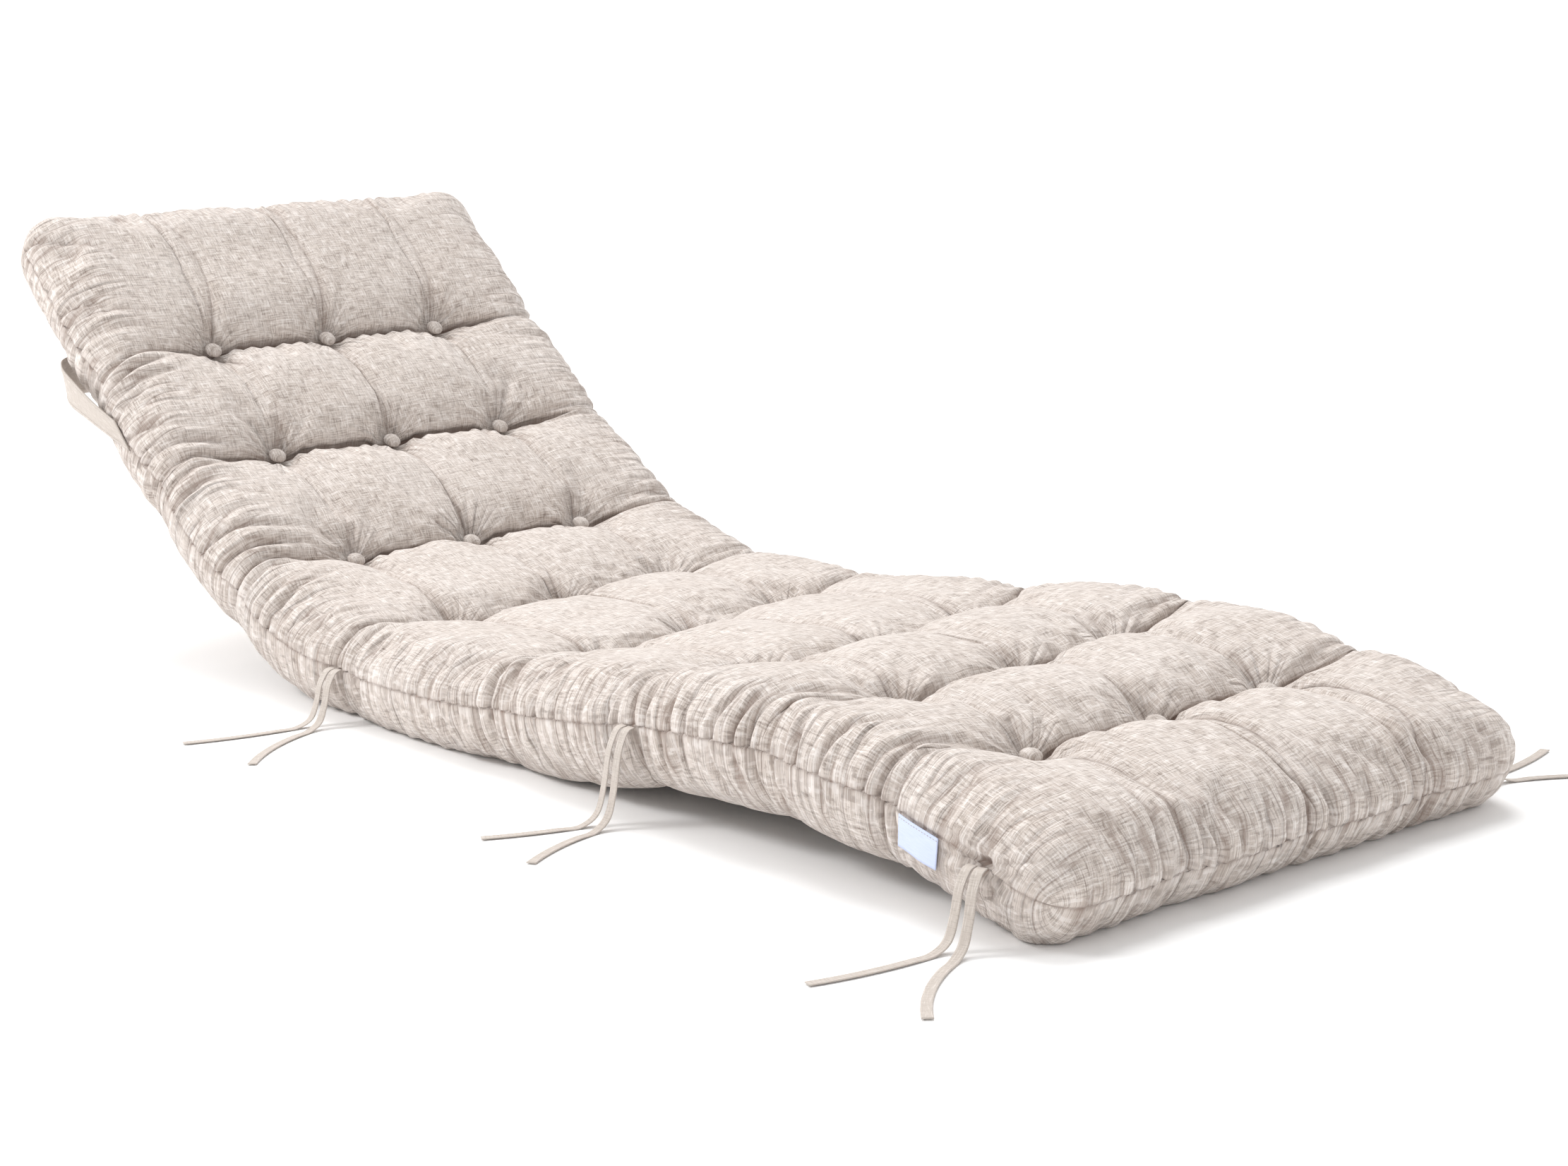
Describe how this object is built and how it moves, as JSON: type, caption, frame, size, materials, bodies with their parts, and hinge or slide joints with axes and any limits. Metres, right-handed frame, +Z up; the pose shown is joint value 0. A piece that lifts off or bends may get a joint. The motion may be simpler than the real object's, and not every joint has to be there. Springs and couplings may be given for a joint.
{
  "type": "sun lounger cushion",
  "caption": "Long tufted sun lounger cushion in beige linen weave, curved to a raised back, seat and knee, with side ties and a back strap.",
  "frame": {"origin": "on the floor, under the middle of the cushion's box, measured without the loose ties", "axes": "+X from the raised head to the foot, +Y across the width towards the far side, +Z up"},
  "size_m": [1.6775, 0.9148, 0.4723],
  "materials": {
    "linen_cover": "matt slubbed linen weave, heathered beige",
    "button_cover": "matt linen weave, stretched over a button",
    "strap_cloth": "matt linen weave, folded and top-stitched",
    "tape": "matt narrow linen tape",
    "label_cloth": "satin woven label, blank"
  },
  "bodies": {
    "root": {"cushion": "linen_cover", "button_1_near": "button_cover", "button_1_middle": "button_cover", "button_1_far": "button_cover", "button_2_near": "button_cover", "button_2_middle": "button_cover", "button_2_far": "button_cover", "button_3_near": "button_cover", "button_3_middle": "button_cover", "button_3_far": "button_cover", "button_4_near": "button_cover", "button_4_middle": "button_cover", "button_4_far": "button_cover", "button_5_near": "button_cover", "button_5_middle": "button_cover", "button_5_far": "button_cover", "button_6_near": "button_cover", "button_6_middle": "button_cover", "button_6_far": "button_cover", "button_7_near": "button_cover", "button_7_middle": "button_cover", "button_7_far": "button_cover", "button_8_near": "button_cover", "button_8_middle": "button_cover", "button_8_far": "button_cover", "strap": "strap_cloth", "label": "label_cloth", "tie_seat_near_long": "tape", "tie_seat_near_short": "tape", "tie_seat_far_long": "tape", "tie_seat_far_short": "tape", "tie_knee_near_long": "tape", "tie_knee_near_short": "tape", "tie_knee_far_long": "tape", "tie_knee_far_short": "tape", "tie_foot_near_long": "tape", "tie_foot_near_short": "tape", "tie_foot_far_long": "tape", "tie_foot_far_short": "tape"}
  },
  "joints": []
}
